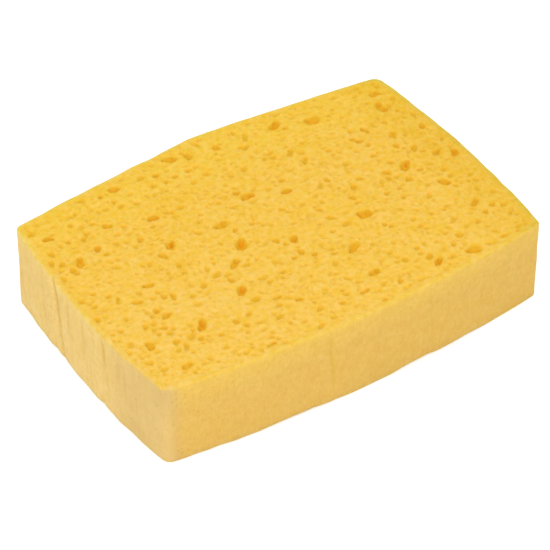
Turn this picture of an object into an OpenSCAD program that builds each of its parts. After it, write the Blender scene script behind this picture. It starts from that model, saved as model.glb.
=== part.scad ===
// Cellulose decorating sponge. It is one block, sawn flat above and below, with its smooth
// moulded skin left on the four sides, which swell a little. Open pores fill both sawn faces.
// Millimetres, +Z up, +X along the block. The origin is on the face that the block stands on,
// under the middle of its overall length and width.

/* [Block] */
// Overall length, across the swells of the two short sides
length = 178; // [120:1:240]
// Overall width, across the swells of the two long sides
width = 126; // [80:1:170]
// Thickness, between the two sawn faces
thickness = 38; // [20:1:70]

/* [Swell of the sides] */
// Swell of the front long side beyond its two corners
front_swell = 6.2; // [0:0.1:14]
// Swell of the back long side beyond its two corners
back_swell = 9; // [0:0.1:14]
// Form of the back swell, from 1.1 for a blunt ridge to 2 for an even curve
back_form = 1.16; // [1.1:0.02:2]
// How much more the back swells to the right of its middle than to the left, as a share
back_lean = 0.16; // [0:0.02:0.4]
// Swell of the left short side beyond its two corners
left_swell = 3.5; // [0:0.1:10]
// Where the left side is fullest, from -1 at its front corner to 1 at its back corner
left_fullest = -0.2; // [-0.5:0.05:0.5]
// Swell of the right short side beyond its two corners
right_swell = 3.3; // [0:0.1:10]

/* [Corners and edges] */
// Radius of the upright corner at the front left
front_left_corner = 3; // [1.5:0.5:10]
// Radius of the upright corner at the front right, which is the sharpest
front_right_corner = 1.5; // [1.5:0.5:10]
// Radius of the upright corner at the back right
back_right_corner = 3.5; // [1.5:0.5:10]
// Radius of the upright corner at the back left
back_left_corner = 2.5; // [1.5:0.5:10]
// Radius of the edge round each sawn face
edge = 1; // [0.5:0.1:1.4]

/* [Creases in the skin] */
// Number of upright creases in the left side
crease_count = 2; // [0:1:6]
// Depth of the deepest crease
crease_depth = 0.9; // [0.2:0.1:1.5]
// Width of a crease
crease_width = 6; // [4:0.5:10]

/* [Pores] */
// Number of scattered pores tried in each sawn face, beside the large cavities
pore_count = 110; // [0:1:160]
// Diameter of the finest scattered pore
fine_pore = 1.6; // [1:0.1:2.4]
// Diameter of the coarsest scattered pore
coarse_pore = 3.6; // [2.6:0.1:6]
// Depth of a large cavity, as a share of its width
cavity_depth = 0.6; // [0.4:0.05:0.8]
// Width of solid face kept between a pore and the edge
rim = 2.5; // [2:0.5:6]
// Thinnest wall between two pores
pore_wall = 0.4; // [0.2:0.1:2]
// Number that sets where the scattered pores fall
scatter = 4; // [1:1:99]

/* [Hidden] */

// Half of the length and half of the width, between the corners
half_span = [(length - left_swell - right_swell) / 2, (width - front_swell - back_swell) / 2];
// The corners' middle lies off the overall middle, as opposite sides swell differently
span_middle = [(left_swell - right_swell) / 2, (front_swell - back_swell) / 2];

// Pieces in each side of the outline and in each quarter round
long_steps = 26;
short_steps = 24;
corner_steps = 4;
edge_steps = 3;

// The large cavities of the upper face. Each row has the place across the length and across
// the width, from -1 to 1 between the sides, then length, width and turn of the cavity.
cavities = [
    [-0.85, 0.41, 6, 3.2, 75], [-0.9, 0.75, 3.6, 3, 0], [-0.74, 0.46, 3.6, 2.8, 80],
    [-0.63, 0.61, 4.2, 3, -30], [-0.73, 0.84, 6, 2.6, 5], [-0.48, 0.89, 5, 3.6, -20],
    [-0.43, 0.5, 4.6, 3.4, -20], [-0.16, 0.91, 6.5, 3.6, -25], [-0.07, 0.86, 4.2, 3.6, 90],
    [0, 0.33, 5.4, 3.6, 0], [0.22, 0.83, 5, 2.2, 55], [0.38, 0.84, 5.8, 3.8, 25],
    [0.33, 0.55, 5, 2.6, 55], [0.35, 0.44, 4.6, 3, 30], [0.55, 0.77, 7.3, 4.2, -5],
    [0.7, 0.5, 4.4, 2.8, -70], [0.86, 0.67, 7, 3.8, -80], [0.9, 0.83, 4.6, 4, 0],
    [0.78, 0.36, 4.4, 3.6, 60], [-0.46, 0.21, 4.6, 3.4, 60], [-0.52, 0.15, 4.8, 2.8, -60],
    [-0.83, -0.06, 4.8, 2, 70], [-0.67, -0.04, 4.8, 2.8, -5], [-0.77, -0.14, 4.2, 2.8, -20],
    [-0.62, -0.22, 4.8, 2.4, 60], [-0.2, 0.19, 6.3, 3.6, 5], [-0.2, -0.03, 6, 4.6, 40],
    [-0.29, -0.16, 6.6, 3, 40], [0.01, -0.17, 4.6, 3.2, 45], [0.16, 0.24, 3.9, 2.9, 10],
    [0.31, 0.17, 5.4, 2.6, 45], [0.36, -0.22, 5.8, 4, -15], [0.26, -0.23, 5.2, 3.4, 0],
    [0.7, 0.04, 6.4, 3.6, 50], [0.87, 0.04, 4.6, 3, 50], [0.94, -0.03, 4.6, 3.2, 70],
    [0.78, -0.25, 4.8, 3.4, -50], [-0.71, -0.35, 4.8, 3.2, 10], [-0.87, -0.55, 4.4, 4, 90],
    [-0.62, -0.55, 6.2, 3.2, 50], [-0.82, -0.84, 5.6, 3, 0], [-0.45, -0.92, 4.2, 2.2, 5],
    [-0.36, -0.4, 4.8, 4, 50], [-0.26, -0.57, 5, 2.4, -10], [0.2, -0.44, 7, 3.8, 20],
    [0.18, -0.71, 4.4, 3.2, 0], [0.08, -0.82, 4.6, 2.4, 0], [0.46, -0.86, 5, 2.8, 30],
    [0.64, -0.92, 6.8, 4.2, 0], [0.67, -0.6, 6, 2.2, 25], [0.82, -0.54, 5.4, 2.8, 35]
];

// An even scatter over the face: steps of these shares never fall into rows
scatter_step = [0.7549, 0.5698];
size_step = 0.618;

function fraction(value) = value - floor(value);
function limit(value, most) = max(-most, min(most, value));

// Repeatable number from 0 to 1, different for each pair of whole numbers
function chance(index, use) = fraction(sin(index * 12.9898 + use * 78.233) * 43758.5453);

// How far a crease draws the left side in, where along is -1 at the front and 1 at the back
function crease(along) = crease_count == 0 ? 0 : max([for (i = [1:crease_count])
    let (off = (along - (2 * i / (crease_count + 1) - 1)) * half_span.y / (crease_width / 2))
    crease_depth * (i == 1 ? 0.5 : 1) * exp(-2 * off * off)]);

// Moves a point of the straight block between the corners to its place in the swollen block
function swell(point) =
    let (u = point.x / half_span.x, v = point.y / half_span.y)
    let (long_swell = v > 0
        ? back_swell * (1 - pow(min(1, abs(u)), back_form)) * (1 + back_lean * u)
        : front_swell * (1 - u * u))
    let (left_off = (v - left_fullest) / (v > left_fullest ? 1 - left_fullest : 1 + left_fullest))
    let (short_swell = u > 0
        ? right_swell * (1 - v * v)
        : left_swell * (1 - left_off * left_off) - crease(v) * pow(abs(u), 8))
    span_middle + [point.x + u * short_swell, point.y + v * long_swell];

// Quarter round of the outline, drawn in by an inset, about the corner on the given sides
function quarter(sides, radius, from, inset) =
    let (middle = [sides.x * (half_span.x - radius), sides.y * (half_span.y - radius)])
    [for (i = [0:corner_steps])
        let (angle = from + 90 * i / corner_steps)
        middle + (radius - inset) * [cos(angle), sin(angle)]];

// Points between two ends, without the ends
function between(start, end, steps) = [for (i = [1:steps - 1]) start + (end - start) * i / steps];

// Outline of the block, drawn in by an inset. It has a point on the ridge of the back side.
function outline(inset) =
    let (ridge = [0, half_span.y - inset])
    let (front_left = quarter([-1, -1], front_left_corner, 180, inset))
    let (front_right = quarter([1, -1], front_right_corner, 270, inset))
    let (back_right = quarter([1, 1], back_right_corner, 0, inset))
    let (back_left = quarter([-1, 1], back_left_corner, 90, inset))
    [for (point = concat(
        front_left, between(front_left[corner_steps], front_right[0], long_steps),
        front_right, between(front_right[corner_steps], back_right[0], short_steps),
        back_right, between(back_right[corner_steps], ridge, long_steps / 2), [ridge],
        between(ridge, back_left[0], long_steps / 2),
        back_left, between(back_left[corner_steps], front_left[0], short_steps)
    )) swell(point)];

// Inset and height of each level of the block, round the lower edge and then the upper edge
levels = concat(
    [for (i = [0:edge_steps]) let (angle = 90 * i / edge_steps)
        [edge * (1 - sin(angle)), edge * (1 - cos(angle))]],
    [for (i = [edge_steps:-1:0]) let (angle = 90 * i / edge_steps)
        [edge * (1 - sin(angle)), thickness - edge * (1 - cos(angle))]]
);

// Solid through a stack of levels, each with the same number of points
module block() {
    points = [for (level = levels) for (point = outline(level[0])) [point.x, point.y, level[1]]];
    around = len(points) / len(levels);
    top = len(levels) - 1;
    walls = [for (j = [0:top - 1]) for (i = [0:around - 1])
        let (next = (i + 1) % around)
        each [
            [j * around + i, (j + 1) * around + i, (j + 1) * around + next],
            [j * around + i, (j + 1) * around + next, j * around + next]
        ]];
    lower_face = [for (i = [0:around - 1]) i];
    upper_face = [for (i = [around - 1:-1:0]) top * around + i];
    polyhedron(points, concat([lower_face], walls, [upper_face]));
}

// Where a large cavity lies, and how far it reaches from there. The side, 1 or -1, picks the
// sawn face, and the lower face has the same cavities turned half round.
function cavity_spot(row, side) =
    let (room = half_span - [1, 1] * (rim + row[2] / 2))
    [swell([limit(side * row[0] * half_span.x, room.x), limit(side * row[1] * half_span.y, room.y)]),
     row[2] / 2];

// Where a scattered pore would lie, and its radius
function pore_spot(index) =
    let (radius = (fine_pore + (coarse_pore - fine_pore) * pow(fraction(index * size_step), 2)) / 2)
    let (room = half_span - [1, 1] * (rim + radius))
    let (spread = [for (axis = [0, 1])
        2 * fraction(index * scatter_step[axis] + 0.06 * chance(index, axis)) - 1])
    [swell([spread.x * room.x, spread.y * room.y]), radius];

// Whether a spot leaves a wall between itself and each of the others
function is_clear(spot, others) =
    len([for (other = others) if (norm(spot[0] - other[0]) < spot[1] + other[1] + pore_wall) other]) == 0;

// A large cavity: round lobes in a row, sunk in the face
module cavity(place, size, girth, turn) {
    lobes = max(1, round(1.5 * (size - girth) / girth));
    translate([place.x, place.y, girth * (0.5 - cavity_depth)])
        rotate(turn)
            for (i = [0:lobes])
                translate([(i / lobes - 0.5) * (size - girth), 0, 0])
                    sphere(d = girth * (i % 2 == 0 ? 1 : 0.88), $fn = 24);
}

// A scattered pore: one round hole, from a shallow dish to a hole narrower at its mouth
module pore(place, radius, depth) {
    translate([place.x, place.y, radius - depth])
        sphere(r = radius, $fn = 20);
}

// All pores of one sawn face, drawn in a face at height 0 that looks up
module pores(side) {
    hollows = [for (row = cavities) cavity_spot(row, side)];
    first = scatter * 100 + (side > 0 ? 0 : 1000);
    spots = [for (i = [1:1:pore_count]) pore_spot(first + i)];
    for (i = [0:len(cavities) - 1])
        cavity(hollows[i][0], cavities[i][2], cavities[i][3], cavities[i][4]);
    for (i = [0:1:pore_count - 1])
        if (is_clear(spots[i], concat(hollows, [for (j = [0:1:i - 1]) spots[j]])))
            pore(spots[i][0], spots[i][1], spots[i][1] * (0.8 + 0.6 * chance(first + i, 2)));
}

module sponge() {
    color([0.97, 0.79, 0.33])
        difference() {
            block();
            translate([0, 0, thickness])
                pores(1);
            mirror([0, 0, 1])
                pores(-1);
        }
}

sponge();
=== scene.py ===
import math

import bpy
import numpy as np
from bpy.props import FloatProperty, FloatVectorProperty, IntProperty, PointerProperty
from mathutils import Matrix, Vector, geometry, noise


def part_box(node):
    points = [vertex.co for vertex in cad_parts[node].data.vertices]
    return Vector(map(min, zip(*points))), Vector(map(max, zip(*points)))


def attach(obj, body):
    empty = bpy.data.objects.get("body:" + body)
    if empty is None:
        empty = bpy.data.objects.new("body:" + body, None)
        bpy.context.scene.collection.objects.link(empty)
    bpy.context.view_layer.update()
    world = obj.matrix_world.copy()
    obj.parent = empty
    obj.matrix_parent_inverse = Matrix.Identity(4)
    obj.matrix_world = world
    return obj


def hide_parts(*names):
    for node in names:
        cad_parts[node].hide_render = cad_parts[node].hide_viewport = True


bl_info = {
    "name": "Decorating sponge",
    "version": (1, 0, 0),
    "blender": (4, 5, 0),
    "location": "View3D > Sidebar > Sponge",
    "description": "Builds a pored cellulose sponge block and the studio that shows it",
    "category": "Add Mesh",
}

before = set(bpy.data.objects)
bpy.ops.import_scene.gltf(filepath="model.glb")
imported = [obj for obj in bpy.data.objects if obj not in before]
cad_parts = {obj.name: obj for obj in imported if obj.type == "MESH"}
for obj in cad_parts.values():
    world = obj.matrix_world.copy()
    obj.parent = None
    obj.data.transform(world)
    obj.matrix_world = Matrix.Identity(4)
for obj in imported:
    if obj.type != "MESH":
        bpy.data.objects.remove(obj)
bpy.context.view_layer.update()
BLOCK_LOW, BLOCK_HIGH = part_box("sponge")

MM = 0.001

# The large cavities of the upper face, as in the part's source. Each row has the place across
# the length and across the width, from -1 to 1 between the sides, then length and width in
# millimetres, turn in degrees, and depth, 1 being the usual depth for the width.
CAVITIES = (
    (-0.85, 0.41, 6, 3.2, 75, 1.3), (-0.9, 0.75, 3.6, 3, 0, 1.4), (-0.74, 0.46, 3.6, 2.8, 80, 1.3),
    (-0.63, 0.61, 4.2, 3, -30, 0.9), (-0.73, 0.84, 6, 2.6, 5, 0.7), (-0.48, 0.89, 5, 3.6, -20, 1),
    (-0.43, 0.5, 4.6, 3.4, -20, 1.3), (-0.16, 0.91, 6.5, 3.6, -25, 1), (-0.07, 0.86, 4.2, 3.6, 90, 0.8),
    (0, 0.33, 5.4, 3.6, 0, 1.2), (0.22, 0.83, 5, 2.2, 55, 1.2), (0.38, 0.84, 5.8, 3.8, 25, 1.1),
    (0.33, 0.55, 5, 2.6, 55, 1), (0.35, 0.44, 4.6, 3, 30, 0.7), (0.55, 0.77, 7.3, 4.2, -5, 1),
    (0.7, 0.5, 4.4, 2.8, -70, 1), (0.86, 0.67, 7, 3.8, -80, 0.9), (0.9, 0.83, 4.6, 4, 0, 0.7),
    (0.78, 0.36, 4.4, 3.6, 60, 0.7), (-0.46, 0.21, 4.6, 3.4, 60, 1.4), (-0.52, 0.15, 4.8, 2.8, -60, 1.1),
    (-0.83, -0.06, 4.8, 2, 70, 1.1), (-0.67, -0.04, 4.8, 2.8, -5, 1.1), (-0.77, -0.14, 4.2, 2.8, -20, 0.9),
    (-0.62, -0.22, 4.8, 2.4, 60, 1), (-0.2, 0.19, 6.3, 3.6, 5, 1), (-0.2, -0.03, 6, 4.6, 40, 1.1),
    (-0.29, -0.16, 6.6, 3, 40, 1.1), (0.01, -0.17, 4.6, 3.2, 45, 1.4), (0.16, 0.24, 3.9, 2.9, 10, 1.4),
    (0.31, 0.17, 5.4, 2.6, 45, 0.8), (0.36, -0.22, 5.8, 4, -15, 1.1), (0.26, -0.23, 5.2, 3.4, 0, 0.6),
    (0.7, 0.04, 6.4, 3.6, 50, 1.3), (0.87, 0.04, 4.6, 3, 50, 1), (0.94, -0.03, 4.6, 3.2, 70, 1.3),
    (0.78, -0.25, 4.8, 3.4, -50, 1.2), (-0.71, -0.35, 4.8, 3.2, 10, 1), (-0.87, -0.55, 4.4, 4, 90, 0.9),
    (-0.62, -0.55, 6.2, 3.2, 50, 1.5), (-0.82, -0.84, 5.6, 3, 0, 0.9), (-0.45, -0.92, 4.2, 2.2, 5, 1.2),
    (-0.36, -0.4, 4.8, 4, 50, 1.2), (-0.26, -0.57, 5, 2.4, -10, 0.9), (0.2, -0.44, 7, 3.8, 20, 1.1),
    (0.18, -0.71, 4.4, 3.2, 0, 1.1), (0.08, -0.82, 4.6, 2.4, 0, 0.9), (0.46, -0.86, 5, 2.8, 30, 1.6),
    (0.64, -0.92, 6.8, 4.2, 0, 1), (0.67, -0.6, 6, 2.2, 25, 0.9), (0.82, -0.54, 5.4, 2.8, 35, 1.2),
)

# The middle-sized cavities of the upper face, in rows of the same kind.
HOLES = (
    (-0.76, 0.6, 3.4, 2.6, 60, 0.9), (-0.93, 0.6, 3.8, 2.8, 80, 0.8), (-0.65, 0.93, 4, 2.4, 0, 0.8),
    (-0.87, 0.77, 2.2, 1.8, 0, 1), (-0.72, 0.38, 2.6, 2.2, 0, 1.1), (-0.55, 0.37, 4, 2.8, 60, 0.8),
    (-0.27, 0.83, 3.2, 2.6, 0, 1.1), (-0.2, 0.75, 3.2, 2.4, 0, 1), (-0.34, 0.87, 4.5, 2.6, 30, 0.8),
    (-0.03, 0.39, 3, 2.6, 0, 1.2), (0.19, 0.9, 2.6, 2.2, 60, 0.9), (0.18, 0.74, 4, 2.8, 20, 0.8),
    (0.09, 0.56, 4.4, 2.4, 35, 0.8), (0.63, 0.42, 3.4, 2.4, -20, 1.3), (0.65, 0.36, 2.8, 2.2, 60, 1),
    (0.93, 0.34, 4, 2.6, 75, 1.1), (-0.73, 0.23, 5, 1.8, -45, 1.1), (-0.6, 0.13, 3, 2.2, 30, 0.9),
    (-0.57, 0.05, 2.6, 2, 40, 0.9), (-0.86, -0.24, 3.4, 2, 80, 0.9), (-0.73, -0.28, 3.2, 2.6, 40, 1.1),
    (-0.55, -0.28, 3.2, 2.4, 0, 0.8), (-0.09, 0.29, 3.8, 2, 0, 1), (-0.27, 0.05, 2.8, 1.8, 80, 0.9),
    (-0.25, -0.21, 4, 2.4, 0, 0.8), (-0.36, -0.28, 3.4, 2.8, 80, 0.9), (0.17, 0.08, 4, 2, 20, 0.8),
    (0.15, -0.03, 4.4, 2, 40, 0.7), (0.42, -0.23, 2.8, 2, 20, 0.9), (0.66, 0.12, 3.4, 2.4, -60, 0.9),
    (0.75, 0.25, 3.6, 2.6, 70, 0.9), (0.66, -0.09, 3.6, 3, 60, 0.9), (0.59, -0.13, 2.6, 2.2, 0, 0.9),
    (0.57, -0.22, 2.8, 2.2, 30, 1.1), (0.83, -0.22, 3.6, 2.2, 45, 0.9), (0.74, -0.05, 3, 2.6, 0, 0.8),
    (-0.8, -0.43, 3.6, 2, 60, 0.9), (-0.66, -0.51, 3.4, 2, 80, 0.8), (-0.49, -0.63, 3.4, 2.6, -60, 1),
    (-0.75, -0.67, 4.6, 2.4, 60, 0.9), (-0.67, -0.65, 3.2, 2.6, 0, 0.9), (-0.91, -0.8, 4.6, 3, 20, 0.6),
    (-0.24, -0.37, 4.8, 2.6, 0, 0.7), (0.03, -0.36, 3.2, 2.4, 20, 1), (-0.19, -0.66, 2.9, 2.4, 0, 1.2),
    (-0.32, -0.73, 4.4, 2.2, 25, 1.1), (-0.15, -0.8, 3.8, 2.4, 20, 0.8), (-0.25, -0.85, 3.2, 1.8, 30, 0.9),
    (0.11, -0.38, 3.4, 2.2, -30, 0.9), (0.06, -0.66, 3.6, 2.2, -50, 0.8), (0.27, -0.56, 4, 2, 40, 0.7),
    (0.53, -0.88, 4.4, 2.2, 0, 0.9), (0.58, -0.79, 2.8, 2.4, 60, 0.9), (0.88, -0.44, 3.6, 2, 80, 0.9),
    (0.7, -0.7, 4, 2, 30, 0.8), (0.92, -0.78, 4.4, 2, 30, 0.9), (0.9, -0.92, 4.4, 2, 25, 0.9),
    (0.81, -0.93, 4.4, 2.4, 0, 0.8), (0.52, -0.52, 3.2, 2.4, 40, 0.8), (0.78, -0.79, 2.6, 1.8, 0, 0.9),
    (-0.98, -0.15, 3.4, 2.4, 80, 0.9), (-0.98, -0.55, 3, 2, 80, 0.8), (-0.94, -0.63, 2.4, 1.8, 0, 0.8),
    (-0.87, -0.63, 3, 2.2, 0, 0.7), (-0.79, -0.68, 3, 2.2, 20, 0.8), (-0.8, -0.48, 2.8, 2, 40, 0.9),
    (-0.73, -0.48, 3.6, 2.4, 60, 0.7), (-0.84, -0.72, 3.6, 1.8, 20, 0.6), (-0.75, -0.87, 3, 2.2, 0, 0.7),
    (-0.92, -0.33, 3, 2.4, 60, 0.7), (-0.73, -0.07, 3, 2.2, 80, 0.8), (-0.7, -0.16, 3, 2.2, 50, 0.7),
    (-0.61, -0.86, 3, 2, 20, 0.7), (-0.57, -0.91, 3.2, 2.2, 0, 0.8), (-0.95, 0.86, 4, 3, 60, 0.7),
    (-0.9, 0.92, 3, 2, 70, 0.7), (-0.84, 0.83, 3.2, 2, 0, 0.7), (-0.98, 0.52, 4.4, 2.6, 70, 0.8),
    (-0.92, 0.47, 3.4, 2.6, 50, 0.9), (-0.955, 0.41, 2.6, 2, 0, 0.8), (-0.98, 0.33, 4, 2.4, 80, 0.8),
    (-0.98, 0.07, 3.6, 2.4, 70, 0.8), (-0.87, 0.63, 3, 2, 80, 0.8), (-0.83, 0.52, 2.6, 2, 0, 0.7),
    (-0.77, 0.77, 2.4, 2.2, 0, 1), (-0.73, 0.71, 4.2, 2.8, 30, 0.6), (-0.68, 0.69, 2.6, 2.4, 0, 0.8),
    (-0.57, 0.54, 2.6, 2.2, 0, 0.9), (-0.62, 0.5, 3, 2.4, 0, 0.7), (-0.59, 0.33, 3.6, 2, 70, 0.9),
    (-0.7, 0.29, 2.4, 2, 0, 0.8), (-0.61, 0.4, 2.2, 2, 0, 0.8), (-0.9, 0.09, 2.6, 2.4, 0, 0.8),
    (-0.8, 0.13, 2.4, 2, 0, 0.7), (-0.94, 0.02, 3, 2, 60, 0.7), (-0.85, 0.01, 3.4, 2.4, 30, 0.8),
    (-0.85, 0.16, 2.4, 2, 0, 0.7), (-0.28, -0.64, 3, 2.6, 0, 0.8), (-0.22, -0.61, 3, 2.2, -40, 0.7),
    (-0.11, -0.51, 4, 1.8, 45, 0.8), (-0.07, -0.57, 3, 2, 0, 0.7), (-0.06, -0.67, 3, 2.2, 0, 0.6),
    (-0.21, -0.95, 4, 2.4, 20, 0.8), (-0.13, -0.91, 3.6, 2.2, 0, 0.8), (0, -0.78, 3, 2.4, 0, 0.8),
    (0.12, -0.96, 2.6, 2.2, 0, 0.9), (0.25, -0.64, 3.4, 2, 0, 0.7), (0.26, -0.83, 3, 2, 60, 0.7),
    (-0.41, -0.71, 3, 2.4, 0, 0.7), (-0.4, -0.96, 3, 2, 0, 0.7), (-0.5, -0.71, 3, 2, 40, 0.6),
    (-0.55, -0.97, 2.6, 2, 0, 0.7), (0.36, -0.55, 2.6, 2, 60, 0.8), (0.47, -0.67, 3, 2, 50, 0.8),
    (0.59, -0.67, 2.4, 2, 0, 0.9), (0.38, -0.77, 3.4, 1.8, 30, 0.8), (0.33, -0.97, 5, 2.2, 0, 0.7),
    (0.24, -0.95, 3.6, 2, 0, 0.7), (0.46, -0.95, 3.2, 2, 10, 0.7), (0.72, -0.93, 3.2, 2, 0, 0.8),
    (0.76, -0.71, 3, 2.6, 20, 0.8), (0.79, -0.86, 3.4, 2, -50, 0.9), (0.76, -0.61, 3, 2, 0, 0.7),
    (0.92, -0.68, 4, 2.4, 30, 0.8), (0.74, -0.98, 3.6, 2, 0, 0.7), (-0.26, 0.12, 3.4, 2, 0, 0.7),
    (-0.06, 0.08, 3, 1.7, 40, 0.7), (-0.08, 0.21, 2.6, 2, 0, 0.7), (-0.5, -0.06, 2.6, 2.4, 0, 0.8),
    (-0.11, -0.11, 3.8, 1.9, 20, 0.8), (-0.14, -0.29, 3, 2.2, 20, 0.8), (0.16, -0.14, 3.4, 2.2, 0, 0.7),
    (0.07, -0.04, 3, 2.4, 0, 0.6), (-0.02, 0.02, 2.4, 2, 0, 0.7), (0.08, -0.25, 3.4, 2.2, 30, 0.6),
    (-0.49, -0.31, 4, 1.8, 20, 0.7), (-0.27, -0.03, 2.6, 2, 80, 0.6), (-0.45, 0, 4, 2.4, 20, 0.6),
    (-0.52, -0.12, 3.6, 2, 40, 0.6), (0.03, 0.14, 3, 2, 0, 0.6), (-0.56, 0.22, 3, 2.2, 0, 0.7),
    (-0.19, -0.42, 3, 1.8, 60, 0.6), (-0.13, -0.43, 2.4, 1.8, 0, 0.7), (0.25, 0.1, 3.4, 2.2, 40, 0.7),
    (0.38, 0.04, 3.4, 2, 30, 0.7), (0.38, -0.1, 3.6, 2.4, 0, 0.7), (0.55, -0.01, 4, 2, 45, 0.8),
    (0.83, -0.14, 3.4, 2.6, 0, 0.7), (0.67, -0.31, 4.4, 2.6, 60, 0.7), (0.61, -0.34, 3, 2, 40, 0.6),
    (0.57, -0.38, 2.4, 2, 0, 0.8), (0.52, -0.44, 3, 2.2, 0, 0.8), (0.7, -0.46, 3, 2.2, 0, 0.8),
    (0.8, -0.04, 3, 2.4, 0, 0.7), (0.95, 0.15, 4, 2.4, 60, 0.8), (0.91, -0.36, 3, 2.6, 60, 0.7),
    (0.84, -0.32, 3, 2, 50, 0.6), (0.77, 0.15, 3.6, 2.2, 60, 0.7), (0.47, 0.22, 3, 2, 60, 0.7),
    (0.3, -0.14, 2.6, 2, 0, 0.6), (0.56, 0.12, 2.6, 2, 0, 0.6), (0.88, 0.18, 3.4, 2.2, 40, 0.7),
    (-0.42, 0.95, 3.6, 2.2, 20, 0.7), (-0.51, 0.72, 3, 2.4, 0, 0.8), (-0.44, 0.78, 3.4, 2.2, 0, 0.7),
    (-0.44, 0.68, 3.4, 2.4, 0, 0.7), (-0.34, 0.68, 3.6, 2, 30, 0.8), (-0.28, 0.67, 2.6, 2, 40, 0.7),
    (-0.22, 0.66, 3.4, 1.8, 40, 0.7), (-0.07, 0.65, 3.2, 2.4, -30, 0.8), (-0.15, 0.63, 3.6, 2.4, 20, 0.7),
    (0.03, 0.72, 3, 2.2, 0, 0.7), (-0.22, 0.58, 2.6, 2, 0, 0.8), (-0.29, 0.48, 4.6, 2.6, 10, 0.7),
    (-0.36, 0.49, 2.6, 2.4, 0, 0.8), (-0.34, 0.43, 3.4, 2, 0, 0.7), (-0.11, 0.45, 3, 2, 0, 0.7),
    (-0.08, 0.4, 2.4, 1.8, 40, 0.8), (0.02, 0.58, 2.8, 2, 0, 0.7), (-0.27, 0.3, 4, 2, 20, 0.8),
    (-0.21, 0.83, 2.8, 2, 0, 0.7), (-0.25, 0.93, 2.6, 2, 0, 0.7), (0.045, 0.36, 3.2, 2.2, 45, 0.8),
    (-0.12, 0.79, 3, 2, 0, 0.6), (0.03, 0.95, 3, 2, 0, 0.7), (-0.42, 0.4, 4, 2, 0, 0.6),
    (-0.57, 0.46, 3.6, 2.2, 10, 0.7), (0.15, 0.46, 3, 1.8, 30, 0.6), (0.29, 0.95, 3.4, 2, 0, 0.7),
    (0.43, 0.96, 4, 2.2, 0, 0.7), (0.48, 0.86, 3.4, 2.2, 0, 0.7), (0.64, 0.87, 3.6, 1.8, 20, 0.6),
    (0.67, 0.81, 3, 2, 0, 0.8), (0.46, 0.65, 3.4, 2, 0, 0.7), (0.25, 0.61, 4, 2.4, 30, 0.7),
    (0.67, 0.7, 2.6, 2, 0, 0.7), (0.77, 0.71, 2.6, 2, 0, 0.6), (0.64, 0.54, 3.4, 2.4, 30, 0.7),
    (0.55, 0.54, 3.4, 2, 0, 0.6), (0.54, 0.46, 3, 2, 60, 0.6), (0.8, 0.57, 3.4, 2, 70, 0.7),
    (0.91, 0.58, 3, 2.4, 0, 0.7), (0.95, 0.48, 4.4, 2.4, 75, 0.8), (0.83, 0.32, 3.6, 2.2, 70, 0.8),
    (0.9, 0.27, 3, 2, 0, 0.7), (0.4, 0.36, 4.6, 2.2, 20, 0.6), (0.32, 0.35, 3.6, 2.2, 0, 0.6),
    (0.58, 0.34, 3, 2.2, 0, 0.7), (0.47, 0.48, 2.8, 2, 0, 0.6), (0.28, 0.27, 4, 2, 40, 0.7),
    (0.45, 0.28, 3.2, 2.2, 0, 0.6), (0.95, 0.72, 4, 2.6, 40, 0.7), (0.95, 0.9, 3.2, 2.4, 0, 0.7),
    (0.86, 0.94, 3.8, 2.2, 0, 0.7),
)


# ---- settings

class SpongeShape(bpy.types.PropertyGroup):
    """Sizes of the block between its four corners, and of its edges and creases."""

    front_swell: FloatProperty(
        name="Front swell", description="Swell of the front long side beyond its corners",
        default=6.2 * MM, unit="LENGTH")
    back_swell: FloatProperty(
        name="Back swell", description="Swell of the back long side beyond its corners",
        default=9 * MM, unit="LENGTH")
    back_form: FloatProperty(
        name="Back form", description="From 1.1 for a blunt ridge to 2 for an even curve",
        default=1.16, min=1.1, max=2.0)
    back_lean: FloatProperty(
        name="Back lean", description="How much more the back swells to the right than the left",
        default=0.16)
    left_swell: FloatProperty(
        name="Left swell", description="Swell of the left short side beyond its corners",
        default=3.5 * MM, unit="LENGTH")
    left_fullest: FloatProperty(
        name="Left fullest", description="Where the left side is fullest, from front to back",
        default=-0.2, min=-0.5, max=0.5)
    right_swell: FloatProperty(
        name="Right swell", description="Swell of the right short side beyond its corners",
        default=3.3 * MM, unit="LENGTH")
    corners: FloatVectorProperty(
        name="Corners", description="Radii of the upright corners from the front left one",
        default=(3 * MM, 1.5 * MM, 3.5 * MM, 2.5 * MM), size=4, unit="LENGTH")
    edge: FloatProperty(
        name="Edge", description="Radius of the edge round each sawn face",
        default=0.9 * MM, unit="LENGTH")
    crease_depth: FloatProperty(
        name="Crease depth", description="Depth of the deepest crease in the left side",
        default=0.9 * MM, unit="LENGTH")
    unevenness: FloatProperty(
        name="Unevenness", description="How far the soft surfaces stray from true",
        default=0.35 * MM, unit="LENGTH")
    side_step: FloatProperty(
        name="Side step", description="Distance between points of the sides",
        default=2.2 * MM, unit="LENGTH")
    face_step: FloatProperty(
        name="Face step", description="Distance between points of the upper face",
        default=0.75 * MM, unit="LENGTH")


class SpongePores(bpy.types.PropertyGroup):
    """Numbers and sizes of the pores in each sawn face."""

    scattered: IntProperty(
        name="Scattered pores", description="Pores of 1.6 to 3.6 mm tried in each sawn face",
        default=110)
    middling: IntProperty(
        name="Middling pores", description="Pores of 1.6 to 3 mm added to the upper face",
        default=400)
    fine: IntProperty(
        name="Fine pores", description="Pores of 0.9 to 1.6 mm in the upper face", default=3400)
    underside: FloatProperty(
        name="Underside", description="Share of the added pores that the underside has",
        default=0.6, min=0, max=1)
    seed: IntProperty(name="Seed", description="Sets where the added pores fall", default=11)


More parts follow.
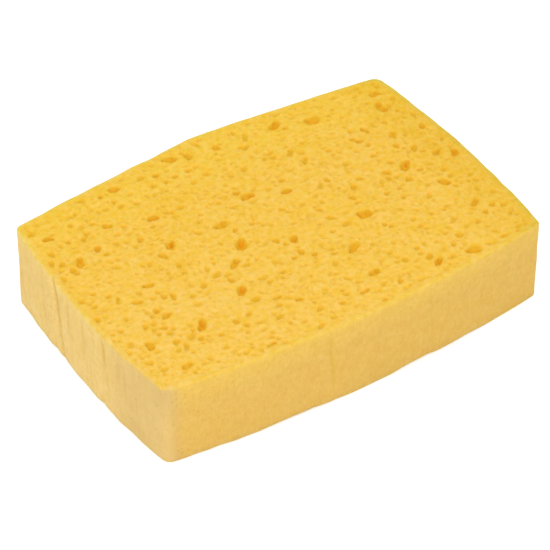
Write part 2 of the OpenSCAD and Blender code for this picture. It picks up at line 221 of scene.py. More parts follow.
class SpongeFinish(bpy.types.PropertyGroup):
    """Colours of the cellulose."""

    face: FloatVectorProperty(
        name="Sawn face", description="Colour of the solid foam between the pores",
        default=(0.96, 0.612, 0.125), subtype="COLOR")
    # The pore colours are the foam's amber with painted shade: the deeper a point lies, the darker
    shaded_hollow: FloatVectorProperty(
        name="Pore", description="Colour of the small pores",
        default=(0.83, 0.485, 0.03), subtype="COLOR")
    deep_shaded_hollow: FloatVectorProperty(
        name="Deep pore", description="Colour deep inside the large cavities",
        default=(0.905, 0.47, 0.013), subtype="COLOR")
    skin: FloatVectorProperty(
        name="Skin", description="Colour of the smooth skin round the sides",
        default=(0.88, 0.578, 0.149), subtype="COLOR")
    pale_skin: FloatVectorProperty(
        name="Pale skin", description="Colour where the skin is bleached",
        default=(0.98, 0.703, 0.268), subtype="COLOR")
    # Colour near the front left corner: partly greyed wear, partly painted shade that keeps the corner no
    # lighter than its sides
    worn_and_shaded_skin: FloatVectorProperty(
        name="Worn skin", description="Colour of the greyed skin near the worn corner",
        default=(0.76, 0.52, 0.19), subtype="COLOR")


class SpongeStudio(bpy.types.PropertyGroup):
    """Camera and light."""

    azimuth: FloatProperty(
        name="Azimuth", description="Way round the block that the camera stands",
        default=math.radians(-33.04), unit="ROTATION")
    elevation: FloatProperty(
        name="Elevation", description="Angle of the camera above the floor",
        default=math.radians(41.44), unit="ROTATION")
    roll: FloatProperty(
        name="Roll", description="Turn of the camera about its own axis",
        default=math.radians(-0.42), unit="ROTATION")
    target: FloatVectorProperty(
        name="Target", description="Point that the camera looks at",
        default=(-4.24 * MM, -6.31 * MM, 17.8 * MM), unit="LENGTH")
    distance: FloatProperty(
        name="Distance", description="Distance of the camera from its target",
        default=1.217, unit="LENGTH")
    lens: FloatProperty(
        name="Lens", description="Focal length of the camera in millimetres", default=204.2)
    key_power: FloatProperty(
        name="Key light", description="Power of the large soft light in watts", default=8.5)
    key_way: FloatVectorProperty(
        name="Key way", description="Way from the block to the large soft light",
        default=(-0.42, -0.54, 0.73), subtype="DIRECTION")
    key_distance: FloatProperty(
        name="Key distance", description="Distance of the large soft light from the block",
        default=1.6, unit="LENGTH")
    sky: FloatProperty(
        name="Sky", description="Strength of the even light from all round", default=0.8)


SETTINGS = {"sponge_shape": SpongeShape, "sponge_pores": SpongePores,
            "sponge_finish": SpongeFinish, "sponge_studio": SpongeStudio}


# ---- outline of the block

def fraction(value):
    return value - np.floor(value)


def chance(index, use):
    """Repeatable number from 0 to 1, the same as in the part's source."""
    return fraction(np.sin(np.radians(index * 12.9898 + use * 78.233)) * 43758.5453)


def smooth(value, low, high):
    """0 at low and 1 at high, with an even change between. Low may be the greater."""
    share = np.clip((value - low) / (high - low), 0, 1)
    return share * share * (3 - 2 * share)


# The creases in the skin of each side. Each row has the place along the side at the top, from -1
# to 1, the share of the full depth, how far the foot stands beyond the head, and the heights in
# millimetres between which the crease shows.
CREASES = {
    "left": (
        (0.4, 0.6, -0.12, -20, 50), (0.4, 1, -0.12, 16, 50), (-0.285, 0.85, -0.05, 21, 34),
        (-0.02, 0.35, 0, 16, 34), (0.19, 0.35, -0.03, 22, 37), (0.57, 0.25, 0, 12, 32),
        (0.4, 0.4, 0, -20, 4), (-0.26, 0.5, 0, -20, 4),
    ),
    "front": (
        (-0.19, 0.6, 0.02, 9, 34), (-0.27, 0.3, 0, 30, 50), (0.36, 0.25, 0, 8, 32),
        (0.35, 0.4, 0, -20, 3), (-0.27, 0.35, 0, -20, 2),
    ),
}
# Half the width of a crease's fine line in millimetres, where the material paints shade, and the line's
# share of the depth
CREASE_LINES = {"left": (1.1, 0.25), "front": (0.7, 0.1)}
# Share of the depth of the soft dent that the line lies in, and how far it reaches to each side
DENT_SHARE = 0.5
DENT_REACH = 3 * MM
# How far to each side of a crease the outline's points stand closer together, and how close
CREASE_ROOM = 2.4 * MM
CREASE_STEP = 0.55 * MM

# Where the foot of the block stands clear of the ground. Each row has the place along the side
# and the reach, both from -1 to 1, and the rise in millimetres.
RISES = {
    "left": ((0.4, 0.06, 0.1), (0.3, 0.3, 0.4), (-0.35, 0.45, 0.45), (-0.28, 0.05, 0.3)),
    "front": ((-0.75, 0.3, 0.4), (-0.3, 0.16, 0.8), (0.26, 0.1, 0.8), (0.36, 0.05, 0.5),
              (0.53, 0.14, 0.8)),
}
# How far into the block from a side its creases and rises reach
SIDE_REACH = 9 * MM

# Points in each round of the outline and in each edge of a sawn face
CORNER_POINTS = 7
EDGE_POINTS = 5


class Block:
    """The block's outline, worked out from the CAD solid's box and the swell of its sides."""

    def __init__(self, shape):
        size = BLOCK_HIGH - BLOCK_LOW
        self.shape = shape
        self.half = np.array([
            (size.x - shape.left_swell - shape.right_swell) / 2,
            (size.y - shape.front_swell - shape.back_swell) / 2,
        ])
        self.middle = np.array([shape.left_swell - shape.right_swell,
                                shape.front_swell - shape.back_swell]) / 2
        self.thickness = size.z
        self.edge_line = self.outline(0.0)

    def swell(self, points):
        """Moves points of the straight block between the corners to the swollen block."""
        shape = self.shape
        u = points[:, 0] / self.half[0]
        v = points[:, 1] / self.half[1]
        back = shape.back_swell * (1 - np.minimum(1, np.abs(u)) ** shape.back_form)
        back *= 1 + shape.back_lean * u
        front = shape.front_swell * (1 - u * u)
        off = v - shape.left_fullest
        off /= np.where(off > 0, 1 - shape.left_fullest, 1 + shape.left_fullest)
        ends = np.where(u > 0, shape.right_swell * (1 - v * v), shape.left_swell * (1 - off * off))
        return self.middle + np.stack([
            points[:, 0] + u * ends,
            points[:, 1] + v * np.where(v > 0, back, front),
        ], axis=1)

    def outline(self, inset):
        """Points round the block, anticlockwise from the front left corner, drawn in by an inset.
        They stand closer together at the creases."""
        corners = zip(((-1, -1), (1, -1), (1, 1), (-1, 1)), self.shape.corners)
        rounds = []
        for number, ((x, y), radius) in enumerate(corners):
            centre = np.array([x, y]) * (self.half - radius)
            angles = np.radians(180 + 90 * number + np.linspace(0, 90, CORNER_POINTS))
            arms = np.stack([np.cos(angles), np.sin(angles)], axis=1)
            rounds.append(centre + (radius - inset) * arms)
        path = []
        for number, arc in enumerate(rounds):
            end = rounds[(number + 1) % 4][0]
            length = 2 * self.half[number % 2]
            shares = np.linspace(0, 1, int(length / self.shape.side_step))[1:-1]
            side, way = {0: ("front", 0.5), 3: ("left", -0.5)}.get(number, ("", 0))
            for place, _, lean, *_ in CREASES.get(side, ()):
                ends = 0.5 + np.array([place, place + lean]) * way
                room, step = CREASE_ROOM / length, CREASE_STEP / length
                near = np.arange(ends.min() - room, ends.max() + room, step)
                apart = [s for s in shares if abs(near - s).min() > 0.6 * step]
                shares = np.sort(np.concatenate([apart, near]))
            path.append(arc)
            path.append(arc[-1] + (end - arc[-1]) * shares[:, None])
        return self.swell(np.concatenate(path))

    def beside(self, points, side):
        """Axis across the left or the front side, then the place of each point along the side,
        from -1 to 1, and how far it stands from the middle towards that side."""
        across, along = (0, 1) if side == "left" else (1, 0)
        places = (points[:, along] - self.middle[along]) / self.half[along]
        return across, places, self.middle[across] - points[:, across]

    def distance_inside(self, points):
        """Distance of each point from the outline, in plan."""
        step = np.roll(self.edge_line, -1, axis=0) - self.edge_line
        nearest = []
        for part in np.array_split(points, len(points) // 2000 + 1):
            arm = part[:, None] - self.edge_line
            share = np.clip((arm * step).sum(axis=2) / (step * step).sum(axis=1), 0, 1)
            gap = arm - share[:, :, None] * step
            nearest.append(np.hypot(gap[:, :, 0], gap[:, :, 1]).min(axis=1))
        return np.concatenate(nearest)


# ---- pores

class Pores:
    """The pores of one sawn face. Each is a bowl with an uneven mouth and a rounded lip, and
    has a row with its place in plan, half its length, half its width, turn, depth and number."""

    # Where the lip and the flat floor begin, and how far a pore's colour and its painted shade
    # reach, each as a share of the way from the middle of the pore to its mouth
    LIP = 1.2
    FLOOR = 0.2
    COLOUR_AND_SHADE_REACH = 1.55
    # How many pores a face has room for
    MOST = 8000

    def __init__(self):
        self.table = np.zeros((self.MOST, 7))
        self.count = 0

    def rows(self):
        return self.table[:self.count]

    def add(self, place, sizes, turn, depth):
        """Adds a pore at a place in plan, with half its length and width, its turn and depth."""
        self.table[self.count] = (*place, *sizes, turn, depth, self.count)
        self.count += 1

    def fits(self, place, reach, share):
        """Whether a pore comes no nearer to the others than a share of their reaches."""
        rows = self.rows()
        gaps = np.hypot(*(rows[:, :2] - place).T) - share * ((rows[:, 2] + rows[:, 3]) / 2 + reach)
        return gaps.min(initial=1) > 0

    @staticmethod
    def mouth(row, angles):
        """How far the mouth reaches at each angle, 1 being its plain oval."""
        number = row[6]
        return (1 + 0.11 * np.cos(2 * angles + math.tau * chance(number, 21))
                + 0.09 * np.cos(3 * angles + math.tau * chance(number, 22))
                + 0.06 * np.cos(5 * angles + math.tau * chance(number, 23)))

    @staticmethod
    def to_world(row, angles, shares):
        """Points in plan at angles round a pore and at shares of the way out to its mouth."""
        reach = Pores.mouth(row, angles) * shares
        x, y = reach * row[2] * np.cos(angles), reach * row[3] * np.sin(angles)
        c, s = math.cos(row[4]), math.sin(row[4])
        return np.stack([row[0] + c * x - s * y, row[1] + s * x + c * y], axis=1)

    @staticmethod
    def shares_out(row, points):
        """How far each point is on its way from the middle of a pore to its mouth."""
        c, s = math.cos(row[4]), math.sin(row[4])
        x, y = points[:, 0] - row[0], points[:, 1] - row[1]
        x, y = (c * x + s * y) / row[2], (c * y - s * x) / row[3]
        return np.hypot(x, y) / Pores.mouth(row, np.arctan2(y, x))

    def each_near(self, points, share, least):
        """Pores with at least a half width, each with the points near it and their shares out."""
        for row in self.rows():
            if row[3] >= least:
                reach = 1.26 * share * max(row[2], row[3])
                near = np.flatnonzero((np.abs(points[:, 0] - row[0]) < reach)
                                      & (np.abs(points[:, 1] - row[1]) < reach))
                if len(near):
                    yield row, near, self.shares_out(row, points[near])

    def depth(self, points, lip, floor):
        """Depth at each point, from 0 at a share of the way out, the lip, to all at the floor."""
        deepest = np.zeros(len(points))
        for row, near, out in self.each_near(points, lip, 0):
            deepest[near] = np.maximum(deepest[near], row[5] * smooth(out, lip, floor))
        return deepest

    def covered(self, points, margin, least):
        """Which points lie within a margin of the lip of a pore with at least a half width."""
        hit = np.zeros(len(points), bool)
        for row, near, out in self.each_near(points, self.LIP + margin / least, least):
            hit[near] |= out < self.LIP + margin / row[3]
        return hit


# The cavities open this much wider than their rows say, and keep this far from the sides
OPENING = 1.06
CAVITY_RIM = 1.3 * MM

# The even scatter of the part's source: its number, its steps in size and in place, its finest
# and coarsest diameter in millimetres, and the rim that it keeps
SCATTER = 4
SIZE_STEP, PLACE_STEPS = 0.618, (0.7549, 0.5698)
FINEST, COARSEST = 1.6, 3.6
SCATTER_RIM = 2.5 * MM


def cavities(pores, block, side):
    """Adds the cavities of a sawn face, the large ones with deeper pockets in their floors. The
    lower face has those of the upper face turned half round."""
    for number, (across, along, length, girth, turn, deepness) in enumerate(CAVITIES + HOLES):
        large = number < len(CAVITIES)
        length, girth, turn = OPENING * length * MM, OPENING * girth * MM, math.radians(turn)
        room = block.half - (CAVITY_RIM + length / 2)
        place = np.clip(np.array([side * across, side * along]) * block.half, -room, room)
        place = block.swell(place[None])[0]
        depth = (0.42 if large else 0.52) * girth * deepness
        pores.add(place, (length / 2, girth / 2), turn, depth)
        for end in range(2 + number % 2 if large else 0):
            angle = turn + math.pi * end + 1.2 * (chance(number, end + 5) - 0.5)
            reach = 0.26 * length * (0.6 + 0.7 * chance(number, end + 9))
            size = girth * (0.24 + 0.1 * chance(number, end + 13))
            offset = reach * np.array([math.cos(angle), math.sin(angle)])
            pores.add(place + offset, (size * 1.3, size), angle,
                      depth * (1.1 + 0.4 * chance(number, end + 17)))


def scattered(pores, block, count, side):
    """Adds the scattered pores that there is room for, at the places that the source tries."""
    first = SCATTER * 100 + (0 if side > 0 else 1000)
    for index in range(first + 1, first + 1 + count):
        coarseness = fraction(index * SIZE_STEP) ** 2
        radius = (FINEST + (COARSEST - FINEST) * coarseness) / 2 * MM
        room = block.half - (SCATTER_RIM + radius)
        place = np.array([2 * fraction(index * step + 0.06 * chance(index, axis)) - 1
                          for axis, step in enumerate(PLACE_STEPS)]) * room
        place = block.swell(place[None])[0]
        if pores.fits(place, radius, 1.05):
            pores.add(place, (radius * (1 + 0.5 * chance(index, 3)), radius),
                      math.tau * chance(index, 4), radius * (0.6 + 0.5 * chance(index, 2)))


# Sizes of the added pores, and how often a place is tried for them
MIDDLING_SIZES = (1.6 * MM, 3.0 * MM)
FINE_SIZES = (0.9 * MM, 1.6 * MM)
MOST_TRIES = 30000


def added(pores, block, count, sizes, draw):
    """Adds pores between two sizes, closer together in some parts of the face than in others."""
    least, most = sizes
    for _ in range(MOST_TRIES):
        radius = (least + (most - least) * draw.random() ** 2) / 2
        place = (2 * draw.random(2) - 1) * (block.half - 0.5 * MM)
        crowding = noise.noise(Vector((*place, least)) / (15 * MM))
        share = 0.72 + 0.3 * draw.random() - 0.5 * crowding
        stretch = 1 + 0.9 * draw.random() ** 2
        turn, depth = math.pi * draw.random(), radius * (0.42 + 0.6 * draw.random())
        place = block.swell(place[None])[0]
        margin = block.shape.edge + 0.1 * MM + radius * (1.26 * stretch + 0.1)
        if pores.fits(place, radius, share) and block.distance_inside(place[None])[0] > margin:
            pores.add(place, (radius * stretch, radius), turn, depth)
            count -= 1
            if count <= 0:
                break


# ---- meshes

# Gap between the rows of points of a sawn face, as a share of the step along a row
ROW_GAP = 0.866
# Kind of triangles that are asked for, and how near two points have to be to become one
FILL_EDGES = 1
SAME_POINT = 1e-7
# How much wider the steps of the lower face are
LOWER_STEP = 1.5
# Depth in a pore that the material counts as 1
FULL_DEPTH = 4 * MM


def sawn_face(block, ring, pores, step):
    """Points and triangles that fill a ring and follow the pores in it. The ring comes first.
    Only the larger pores have rings of points of their own."""
    low, high = ring.min(axis=0), ring.max(axis=0)
    land = []
    for row in range(int((high[1] - low[1]) / (step * ROW_GAP)) + 1):
        xs = np.arange(low[0] + (row % 2) * step / 2, high[0], step)
        land.append(np.column_stack([xs, np.full(len(xs), low[1] + row * step * ROW_GAP)]))
    land = np.concatenate(land)
    land += 0.3 * step * (np.random.default_rng(5).random(land.shape) - 0.5)
    land = land[inside(ring, land)]
    land = land[block.distance_inside(land) > block.shape.edge + 0.7 * step]
    least = step
    land = land[~pores.covered(land, 0.35 * step, least)]
    points, edges, count = [ring, land], closed(0, len(ring)), len(ring) + len(land)
    for row in pores.rows():
        size = row[3]
        if size < least:
            continue
        around = int(np.clip(round(math.pi * (row[2] + size) / step), 7, 26))
        rings = [(Pores.LIP, around), (0.9, around), (0.62, around)]
        if size > 1.2 * MM:
            rings.append((0.35, around // 2))
        rings.append((0.0, 1))
        for number, (share, corners) in enumerate(rings):
            angles = math.tau * (np.arange(corners) + number % 2 / 2) / corners
            points.append(Pores.to_world(row, angles, share))
            if number == 1:
                edges += closed(count, corners)
            count += corners
    found = geometry.delaunay_2d_cdt([Vector(p) for p in np.concatenate(points)], edges, [],
                                     FILL_EDGES, SAME_POINT, True)
    where = np.array(found[0])
    depth = pores.depth(where, Pores.LIP, Pores.FLOOR)
    # how far each point lies in a pore, reaching past the mouth, for the pores' colour and painted shade
    tint = pores.depth(where, Pores.COLOUR_AND_SHADE_REACH, 0.0)
    names = {index: origin for index, origins in enumerate(found[3])
             for origin in origins if origin < len(ring)}
    if sorted(names.values()) != list(range(len(ring))):
        raise RuntimeError("a pore has cut the rim of its face")
    triangles = np.array(found[2])
    triangles = triangles[inside(ring, where[triangles].mean(axis=1))].tolist()
    return where, depth, tint, names, triangles


def closed(first, count):
    """Edges of a closed loop of points."""
    return [(first + i, first + (i + 1) % count) for i in range(count)]


def inside(ring, points):
    """Which points lie within a closed ring, in plan."""
    crossings = np.zeros(len(points), int)
    for (ax, ay), (bx, by) in zip(ring, np.roll(ring, -1, axis=0)):
        if ay != by:
            spans = (ay > points[:, 1]) != (by > points[:, 1])
            x = ax + (points[:, 1] - ay) * (bx - ax) / (by - ay)
            crossings += spans & (points[:, 0] < x)
    return crossings % 2 == 1


def levels(block):
    """Inset and height of each ring of points, from the underside up to the upper face."""
    edge, thickness = block.shape.edge, block.thickness
    angles = np.radians(np.linspace(0, 90, EDGE_POINTS))
    low = [(edge + 0.1 * MM, 0.0)]
    low += list(zip(edge * (1 - np.sin(angles)), edge * (1 - np.cos(angles))))
    low += [(0.0, edge + rise * MM) for rise in (0.6, 1.3, 2.2)]
    walls = int((thickness - 2 * low[-1][1]) / block.shape.side_step)
    middle = [(0.0, h) for h in np.linspace(low[-1][1], thickness - low[-1][1], walls)[1:-1]]
    return low + middle + [(inset, thickness - height) for inset, height in low[::-1]]


def sponge_mesh(block, faces_of_pores):
    """Points and faces of the whole block, then two facts of each point: how deeply it lies in a
    pore, which fades out beyond the pore's mouth and which the material paints as the pore's
    colour and shade, and how much skin it has, from 0 to 1, which ends unevenly near the sawn faces."""
    rings = levels(block)
    outlines = [block.outline(inset) for inset, _ in rings]
    around = len(outlines[0])
    corners = [np.column_stack([line, np.full(around, ring[1])])
               for line, ring in zip(outlines, rings)]
    faces = [(j * around + i, j * around + (i + 1) % around, (j + 1) * around + (i + 1) % around,
              (j + 1) * around + i) for j in range(len(rings) - 1) for i in range(around)]
    depths = [np.zeros(around * len(rings))]
    count = around * len(rings)
    for side, base, height, wider in ((-1, 0, 0.0, LOWER_STEP),
                                      (1, count - around, block.thickness, 1)):
        where, depth, tint, names, triangles = sawn_face(
            block, outlines[0], faces_of_pores[side], block.shape.face_step * wider)
        inner = [index for index in range(len(where)) if index not in names]
        place = {index: count + number for number, index in enumerate(inner)}
        place.update((index, base + name) for index, name in names.items())
        corners.append(np.column_stack([where[inner], height - side * depth[inner]]))
        depths.append(tint[inner])
        faces += [tuple(place[i] for i in triangle[::side]) for triangle in triangles]
        count += len(inner)
    corners, depths = np.concatenate(corners), np.concatenate(depths)
    sides = around * len(rings)
    gap = np.minimum(corners[:sides, 2], block.thickness - corners[:sides, 2])
    gap += 1.1 * MM * np.array([noise.noise(Vector(c) / (2.5 * MM)) for c in corners[:sides]])
    skin = np.zeros(len(corners))
    skin[:sides] = smooth(gap, -0.1 * MM, 1.3 * MM)
    return corners, faces, depths, skin


def soften(block, corners, inward):
    """The points of the block, with soft surfaces that stray a little."""
    amount, thickness = block.shape.unevenness, block.thickness
    out = (corners[:, :2] - block.middle) / block.half
    out = np.where(np.abs(out) > 0.9, out, out * 0.2)
    out /= np.linalg.norm(out, axis=1)[:, None] + 1e-9
    broad = np.array([noise.noise(Vector(c) / (24 * MM)) for c in corners])
    near = np.array([noise.noise(Vector(c) / (8 * MM) + Vector((9, 4, 1))) for c in corners])
    upright = np.array([noise.noise(Vector((c[0] / (7 * MM), c[1] / (7 * MM), c[2] / (45 * MM))))
                        for c in corners])
    stray = amount * smooth(inward, 3.5 * MM, 0.0) * (0.9 * broad + 0.6 * near + 0.6 * upright)
    moved = corners.copy()
    moved[:, :2] += out * stray[:, None]
    above = corners[:, 2] - thickness / 2
    flat = smooth(np.abs(above), thickness / 2 - 5 * MM, thickness / 2 - MM)
    moved[:, 2] += np.where(above > 0, 1.0, -1.0) * flat * amount * (0.5 * near + 0.35 * broad)
    moved[:, 2] = np.maximum(moved[:, 2], 0)
    return moved


def press_creases(block, corners, moved):
    """Presses the creases into the sides, and returns how deeply each point is creased, from 0
    to 1, which the material paints as shade."""
    creased, height = np.zeros(len(corners)), corners[:, 2]
    for side, rows in CREASES.items():
        across, places, out = block.beside(corners, side)
        reached = smooth(out, block.half[across] - SIDE_REACH, block.half[across] - MM)
        width, line_share = CREASE_LINES[side]
        for place, share, lean, low, high in rows:
            share = share * smooth(height, (low - 3) * MM, (low + 3) * MM)
            shown = reached * share * smooth(height, (high + 3) * MM, (high - 3) * MM)
            wander = 0.005 * np.sin(height / (4 * MM) + place * 9)
            off = places - place - lean * (1 - height / block.thickness) - wander
            off *= block.half[1 - across]
            line = shown * np.exp(-(off / (width * MM)) ** 2)
            dent = shown * np.exp(-2 * (off / DENT_REACH) ** 2)
            creased = np.maximum(creased, line)
            moved[:, across] += block.shape.crease_depth * (line * line_share + DENT_SHARE * dent)
    return creased


def lift_foot(block, corners, inward, moved):
    """Lifts the foot of the left and the front side off the ground here and there."""
    low = smooth(corners[:, 2], 4 * MM, 0) * smooth(inward, 7 * MM, 0)
    for side, rows in RISES.items():
        across, places, out = block.beside(corners, side)
        reached = out > block.half[across] - SIDE_REACH
        for place, reach, rise in rows:
            moved[:, 2] += rise * MM * low * reached * np.exp(-((places - place) / reach) ** 2)


class SPONGE_OT_block(bpy.types.Operator):
    """Build the foam block with its pores and its skin"""

    bl_idname = "sponge.block"
    bl_label = "Sponge block"

    def execute(self, context):
        scene = context.scene
        block, wanted = Block(scene.sponge_shape), scene.sponge_pores
        draw = np.random.default_rng(wanted.seed)
        faces_of_pores = {}
        for side in (1, -1):
            share = 1.0 if side > 0 else wanted.underside
            pores = Pores()
            cavities(pores, block, side)
            scattered(pores, block, wanted.scattered, side)
            added(pores, block, int(wanted.middling * share), MIDDLING_SIZES, draw)
            added(pores, block, int(wanted.fine * share), FINE_SIZES, draw)
            faces_of_pores[side] = pores
        corners, faces, depths, skin = sponge_mesh(block, faces_of_pores)
        inward = block.distance_inside(corners[:, :2])
        moved = soften(block, corners, inward)
        creased = press_creases(block, corners, moved)
        lift_foot(block, corners, inward, moved)
        mesh = bpy.data.meshes.new("foam_block")
        mesh.from_pydata(moved.tolist(), [], faces)
        mesh.validate()
        mesh.shade_smooth()
        mesh.set_sharp_from_angle(angle=math.radians(75))
        facts = {"depth": depths / FULL_DEPTH, "skin": skin, "crease": creased,
                 "rim": smooth(inward, 3.2 * MM, 0.4 * MM)}
        for name, values in facts.items():
            attribute = mesh.attributes.new(name, "FLOAT", "POINT")
            attribute.data.foreach_set("value", values.astype(np.float32))
        mesh.materials.append(cellulose(scene.sponge_finish))
        sponge = bpy.data.objects.new("foam_block", mesh)
        scene.collection.objects.link(sponge)
        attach(sponge, "root")
        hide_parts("sponge")
        return {"FINISHED"}


# ---- material

class Value:
    """A shader socket that takes part in sums."""

    def __init__(self, nodes, socket):
        self.nodes = nodes
        self.socket = socket

    def __add__(self, other):
        return self.nodes.maths("ADD", self, other)

    def __sub__(self, other):
        return self.nodes.maths("SUBTRACT", self, other)

    def __rsub__(self, other):
        return self.nodes.maths("SUBTRACT", other, self)

    def __mul__(self, other):
        return self.nodes.maths("MULTIPLY", self, other)

    __radd__ = __add__
    __rmul__ = __mul__


class Nodes:
    """The nodes of one material or world."""

    def __init__(self, owner):
        owner.use_nodes = True
        self.tree = owner.node_tree
        self.tree.nodes.clear()

    def add(self, kind, settings=None, inputs=None, output=0):
        """Adds a node of a type with its settings and the values or links of its sockets."""
        node = self.tree.nodes.new(kind)
        for name, value in (settings or {}).items():
            setattr(node, name, value)
        for name, value in (inputs or {}).items():
            socket = node.inputs[name]
            if isinstance(value, Value):
                self.tree.links.new(value.socket, socket)
            elif socket.type == "RGBA" and len(value) == 3:
                socket.default_value = (*value, 1)
            else:
                socket.default_value = value
        return Value(self, node.outputs[output]) if node.outputs else None

    def maths(self, operation, *values):
        """Works out an operation on values."""
        return self.add("ShaderNodeMath", {"operation": operation}, dict(enumerate(values)))

    def mix(self, factor, first, second, blend="MIX"):
        """Mixes two colours."""
        return self.add("ShaderNodeMix", {"data_type": "RGBA", "blend_type": blend},
                        {0: factor, 6: first, 7: second}, output=2)

    def tinted(self, colour, *tints):
        """Multiplies a colour by each tint in turn, as far as the factor before it says."""
        for factor, tint in tints:
            colour = self.mix(factor, colour, tint, "MULTIPLY")
        return colour

    def within(self, value, low, high):
        """0 below low and 1 above high, with an even change between. Low may be the greater."""
        return self.add("ShaderNodeMapRange", {"interpolation_type": "SMOOTHSTEP"},
                        {0: value, 1: low, 2: high, 3: 0.0, 4: 1.0})


def cellulose(finish):
    """Yellow cellulose foam: sawn land, amber pores with painted shade, paler skin, and its finest pores
    as shaded pits.
    """
    material = bpy.data.materials.new("cellulose")
    nodes = Nodes(material)
    place = nodes.add("ShaderNodeTexCoord", output="Object")
    depth, skin, crease, rim = [
        nodes.add("ShaderNodeAttribute", {"attribute_name": name}, output="Fac")
        for name in ("depth", "skin", "crease", "rim")]
    x, y, z = [nodes.add("ShaderNodeSeparateXYZ", {}, {0: place}, output=i) for i in range(3)]
    ends = {"left": (x, BLOCK_LOW.x, MM), "right": (x, BLOCK_HIGH.x, -MM),
            "front": (y, BLOCK_LOW.y, MM), "back": (y, BLOCK_HIGH.y, -MM),
            "foot": (z, BLOCK_LOW.z, MM), "top": (z, BLOCK_HIGH.z, -MM)}

    def towards(end, far, near):
        """0 far from an end of the block and 1 near it, changing between two distances in
        millimetres."""
        across, place, step = ends[end]
        return nodes.within(across, place + far * step, place + near * step)

    def speckle(size, seed, low=0.2, high=0.8):
        """Soft round pits of one size, in some of the cells."""
        where = nodes.add("ShaderNodeVectorMath", {"operation": "ADD"},
                          {0: place, 1: (seed * 0.37, seed * 0.11, seed * 0.23)})
        near, cell = [nodes.add("ShaderNodeTexVoronoi", {}, {"Vector": where, "Scale": 1 / size},
                                output=name) for name in ("Distance", "Color")]
        chosen = nodes.add("ShaderNodeSeparateColor", {}, {0: cell})
        return nodes.within(near, 0.6, 0.0) * nodes.within(chosen, low, high)

    def cloud(size, detail, low, high, stretch=1.0):
        """Soft patches of one size, from 0 to 1, drawn out upright by a stretch."""
        where = nodes.add("ShaderNodeVectorMath", {"operation": "MULTIPLY"},
                          {0: place, 1: (1, 1, 1 / stretch)})
        patch = nodes.add("ShaderNodeTexNoise", {},
                          {"Vector": where, "Scale": 1 / size, "Detail": detail})
        return nodes.within(patch, low, high)

    pits = speckle(2.6 * MM, 3) * 0.5 + speckle(1.6 * MM, 1) * 0.5 + speckle(0.9 * MM, 2) * 0.15
    specks = speckle(1.7 * MM, 4, 0.7, 0.95)
    grain = cloud(0.7 * MM, 2.0, 0.25, 0.75)
    mottle = cloud(2.2 * MM, 3.0, 0.32, 0.68)
    patches = cloud(7 * MM, 2.0, 0.35, 0.65)
    broad = cloud(28 * MM, 2.0, 0.3, 0.7)
    streaks = cloud(2.4 * MM, 1.0, 0.48, 0.75, 9.0)
    fibres = cloud(1.1 * MM, 2.0, 0.35, 0.7, 3.0)

    # the sawn faces, a little duller along their rims and towards the right
    dull_face = [level * share for level, share in zip(finish.face, (0.945, 0.89, 0.38))]
    land = nodes.tinted(
        nodes.mix(mottle * 0.7 + patches * 0.3, finish.face, dull_face),
        (towards("back", 45, 13), (1.0, 1.02, 0.82)),
        (towards("right", 29, 5), (0.95, 0.94, 0.72)),
        (towards("left", 109, 39) * towards("front", 63, 43), (1.0, 1.01, 1.18)),
        (rim, (0.93, 0.985, 1.06)),
        (rim * towards("right", 17, 3), (0.87, 0.97, 1.1)),
        (rim * towards("back", 33, 18), (0.98, 1.04, 1.35)))
    # the pores and the finest pits: the foam's amber with painted shade, darker and more amber the deeper
    # a point lies
    pitted = nodes.mix(pits * (0.42 + rim * 0.25), land, finish.shaded_hollow)
    pored = nodes.tinted(
        nodes.mix(nodes.within(depth, -0.02, 0.26) * 0.9, pitted, finish.shaded_hollow),
        (nodes.within(depth, 0.1, 0.26), (0.965, 0.955, 0.8)))
    deep = nodes.mix(nodes.within(depth, 0.24, 0.64), pored, finish.deep_shaded_hollow)

    # the skin, yellower on the front and bleached on the left, where its creases run, with a painted
    # highlight along its top and painted shade at its foot and in its creases
    bleached = towards("left", 8, 3.5)
    side = nodes.tinted(
        nodes.mix(bleached, finish.skin, finish.pale_skin),
        (broad * 0.3 + patches * 0.7, (0.975, 0.96, 0.9)),
        (grain * 0.35 + fibres * 0.3 + mottle * 0.35, (0.915, 0.845, 0.68)),
        # painted highlight: lighter towards the top of each side, most along its upper edge
        (towards("top", 14, 1) * (1 - bleached * 0.65), (1.06, 1.085, 0.98)),
        (towards("top", 3.5, 0), (1.03, 1.08, 0.98)),
        # painted shade: darker towards the foot
        (towards("foot", 16, 3), (0.975, 0.985, 1.0)),
        (bleached * towards("foot", 20, 6), (1.03, 1.045, 1.08)),
        # painted shade: a thin darker line along the foot
        (towards("foot", 3.5, 1), (0.9, 0.94, 1.05)))
    # the front left corner, greyed partly by wear and partly as painted shade, so it reads no lighter than
    # its two sides
    greyed = towards("left", 12, 4.5) * towards("front", 51, 21)
    side = nodes.tinted(
        nodes.mix(greyed * (0.6 + broad * 0.4), side, finish.worn_and_shaded_skin),
        (specks * (0.25 + towards("left", 39, 9) * 0.5), (0.88, 0.82, 0.74)),
        (streaks * bleached * (0.3 + broad * 0.7), (0.93, 0.9, 0.82)),
        # painted shade in the creases: the skin darkens along each crease's fine line
        (crease, nodes.mix(bleached, (0.9, 0.89, 0.45), (0.84, 0.76, 0.56))))

    colour = nodes.mix(skin, deep, side)
    height = grain * 0.4 - pits * (0.6 - skin * 0.35) + mottle * 0.5
    height -= streaks * bleached * skin * 0.3
    bump = nodes.add("ShaderNodeBump", {},
                     {"Strength": 1.0, "Distance": 0.14 * MM, "Height": height})
    shader = nodes.add("ShaderNodeBsdfPrincipled", {}, {
        "Base Color": colour, "Roughness": 0.95, "Specular IOR Level": 0.15, "Normal": bump,
        "Subsurface Weight": 0.35, "Subsurface Scale": 1.2 * MM,
        "Subsurface Radius": (1.0, 0.55, 0.15)})
    nodes.add("ShaderNodeOutputMaterial", {}, {"Surface": shader})
    return material


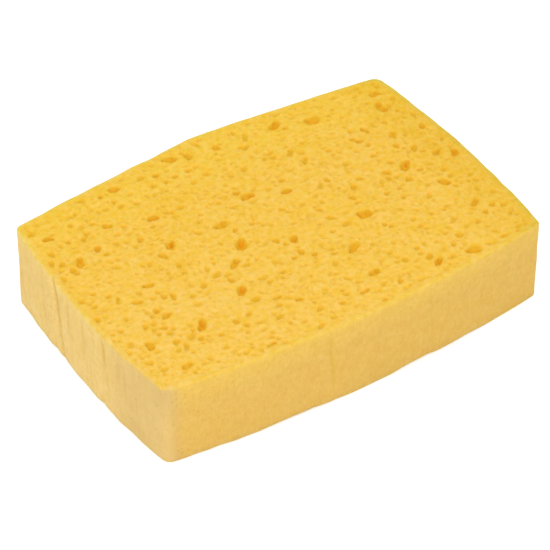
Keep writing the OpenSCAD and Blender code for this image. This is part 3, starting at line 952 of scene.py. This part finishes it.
# ---- stage

def floor_material():
    """White ground that the camera sees as white, with the block's soft shadow kept."""
    material = bpy.data.materials.new("white_ground")
    nodes = Nodes(material)
    seen = seen_directly(nodes)
    paper = nodes.add("ShaderNodeBsdfDiffuse", {}, {"Color": (0.8, 0.8, 0.8)})
    glow = nodes.add("ShaderNodeEmission", {}, {"Color": (1, 1, 1), "Strength": 0.45})
    bright = nodes.add("ShaderNodeAddShader", {}, {0: paper, 1: glow})
    shader = nodes.add("ShaderNodeMixShader", {}, {0: seen, 1: paper, 2: bright})
    nodes.add("ShaderNodeOutputMaterial", {}, {"Surface": shader})
    return material


def seen_directly(nodes):
    """1 for what the camera sees, also in a mirror or through glass, and 0 for the light."""
    seen, mirrored, through = [
        nodes.add("ShaderNodeLightPath", {}, {}, output=name)
        for name in ("Is Camera Ray", "Is Glossy Ray", "Is Transmission Ray")]
    return nodes.maths("MAXIMUM", nodes.maths("MAXIMUM", seen, mirrored), through)


class SPONGE_OT_stage(bpy.types.Operator):
    """Build the white ground, the soft light and the camera"""

    bl_idname = "sponge.stage"
    bl_label = "Stage"

    def execute(self, context):
        scene = context.scene
        studio = scene.sponge_studio
        bpy.ops.mesh.primitive_plane_add(size=6)
        ground = context.object
        ground.name = "ground"
        ground.data.materials.append(floor_material())

        world = bpy.data.worlds.new("sky")
        scene.world = world
        nodes = Nodes(world)
        seen = seen_directly(nodes)
        strength = seen * (1 - studio.sky) + studio.sky
        sky = nodes.add("ShaderNodeBackground", {}, {"Color": (1, 1, 1), "Strength": strength})
        nodes.add("ShaderNodeOutputWorld", {}, {"Surface": sky})

        key = bpy.data.lights.new("key", "AREA")
        key.size = 1.0
        key.energy = studio.key_power
        lamp = bpy.data.objects.new("key", key)
        scene.collection.objects.link(lamp)
        towards = studio.key_way.normalized()
        lamp.location = towards * studio.key_distance
        lamp.rotation_euler = towards.to_track_quat("Z", "Y").to_euler()

        camera = bpy.data.objects.new("camera", bpy.data.cameras.new("camera"))
        scene.collection.objects.link(camera)
        camera.data.lens = studio.lens
        turn = (Matrix.Rotation(studio.azimuth, 4, "Z")
                @ Matrix.Rotation(math.pi / 2 - studio.elevation, 4, "X")
                @ Matrix.Rotation(studio.roll, 4, "Z"))
        back = Matrix.Translation((0, 0, studio.distance))
        camera.matrix_world = Matrix.Translation(studio.target) @ turn @ back
        scene.camera = camera
        scene.view_settings.view_transform = "Standard"
        return {"FINISHED"}


class SPONGE_PT_panel(bpy.types.Panel):
    """Lists the sponge's settings and its steps"""

    bl_label = "Sponge"
    bl_space_type = "VIEW_3D"
    bl_region_type = "UI"
    bl_category = "Sponge"

    def draw(self, context):
        for name in SETTINGS:
            settings = getattr(context.scene, name)
            column = self.layout.column(heading=name)
            for key in settings.__annotations__:
                column.prop(settings, key)
        self.layout.operator("sponge.block")
        self.layout.operator("sponge.stage")


CLASSES = (*SETTINGS.values(), SPONGE_OT_block, SPONGE_OT_stage, SPONGE_PT_panel)


def register():
    for cls in CLASSES:
        bpy.utils.register_class(cls)
    for name, settings in SETTINGS.items():
        setattr(bpy.types.Scene, name, PointerProperty(type=settings))


def unregister():
    for name in SETTINGS:
        delattr(bpy.types.Scene, name)
    for cls in reversed(CLASSES):
        bpy.utils.unregister_class(cls)


def main():
    register()
    bpy.ops.sponge.stage()
    bpy.ops.sponge.block()


if __name__ == "__main__":
    main()
